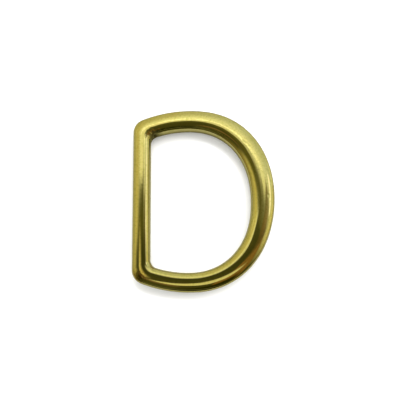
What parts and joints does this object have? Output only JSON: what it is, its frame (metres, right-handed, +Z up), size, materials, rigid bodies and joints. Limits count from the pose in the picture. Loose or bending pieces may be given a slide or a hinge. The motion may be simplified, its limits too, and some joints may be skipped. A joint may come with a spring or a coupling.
{
  "type": "d ring",
  "caption": "Cast D ring with a straight bar for a folded strap and a rounded bow for a hook or second ring, lying flat.",
  "frame": {"origin": "under the middle of the ring's bounding box, on the surface it lies on", "axes": "+Z up out of the flat underside, +Y along the straight bar, +X from the bar towards the crown of the bow"},
  "size_m": [0.0244, 0.0324, 0.0034],
  "materials": {
    "polished_brass": "polished by hand, with fine scratches along the metal and darker cast skin in the two inside corners"
  },
  "bodies": {
    "root": {"d_ring": "polished_brass"}
  },
  "joints": []
}
